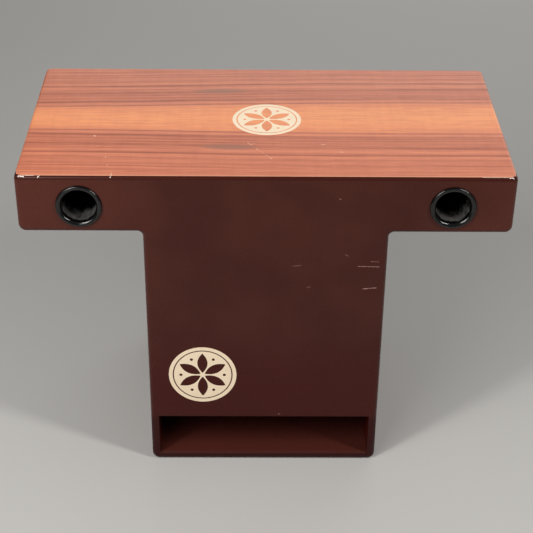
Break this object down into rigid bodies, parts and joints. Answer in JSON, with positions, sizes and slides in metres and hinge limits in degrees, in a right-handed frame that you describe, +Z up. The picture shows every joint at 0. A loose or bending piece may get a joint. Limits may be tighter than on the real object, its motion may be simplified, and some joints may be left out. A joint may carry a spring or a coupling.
{
  "type": "lap cajon",
  "caption": "T-shaped lap drum: a striped veneered playing plate on a painted hollow body, with flanged port tubes in the wings and a wide bass slot at the foot of the stem.",
  "frame": {"origin": "on the floor, under the middle of the stem's base", "axes": "+X along the wings, +Y from the front with the ports to the back, +Z up to the playing surface"},
  "size_m": [0.5, 0.2625, 0.362],
  "materials": {
    "veneer": "satin lacquered striped veneer",
    "body_paint": "satin dark red-brown paint on fibreboard",
    "softwood": "planed, unfinished",
    "port_plastic": "moulded gloss black",
    "snare_steel": "drawn wire and stamped sheet",
    "screw_steel": "zinc plated"
  },
  "bodies": {
    "root": {"playing_top": "veneer", "front_panel": "body_paint", "back_panel": "body_paint", "left_wing_end": "body_paint", "right_wing_end": "body_paint", "left_wing_floor": "body_paint", "right_wing_floor": "body_paint", "left_stem_side": "body_paint", "right_stem_side": "body_paint", "bottom_panel": "body_paint", "left_port_tube": "port_plastic", "right_port_tube": "port_plastic", "front_lining": "softwood", "back_lining": "softwood", "left_lining": "softwood", "right_lining": "softwood", "front_left_batten": "softwood", "front_right_batten": "softwood", "back_left_batten": "softwood", "back_right_batten": "softwood", "left_snare_rail": "softwood", "right_snare_rail": "softwood", "left_snare_strand": "snare_steel", "right_snare_strand": "snare_steel", "left_snare_screw_1": "screw_steel", "left_snare_screw_2": "screw_steel", "left_snare_screw_3": "screw_steel", "left_snare_screw_4": "screw_steel", "right_snare_screw_1": "screw_steel", "right_snare_screw_2": "screw_steel", "right_snare_screw_3": "screw_steel", "right_snare_screw_4": "screw_steel"}
  },
  "joints": []
}
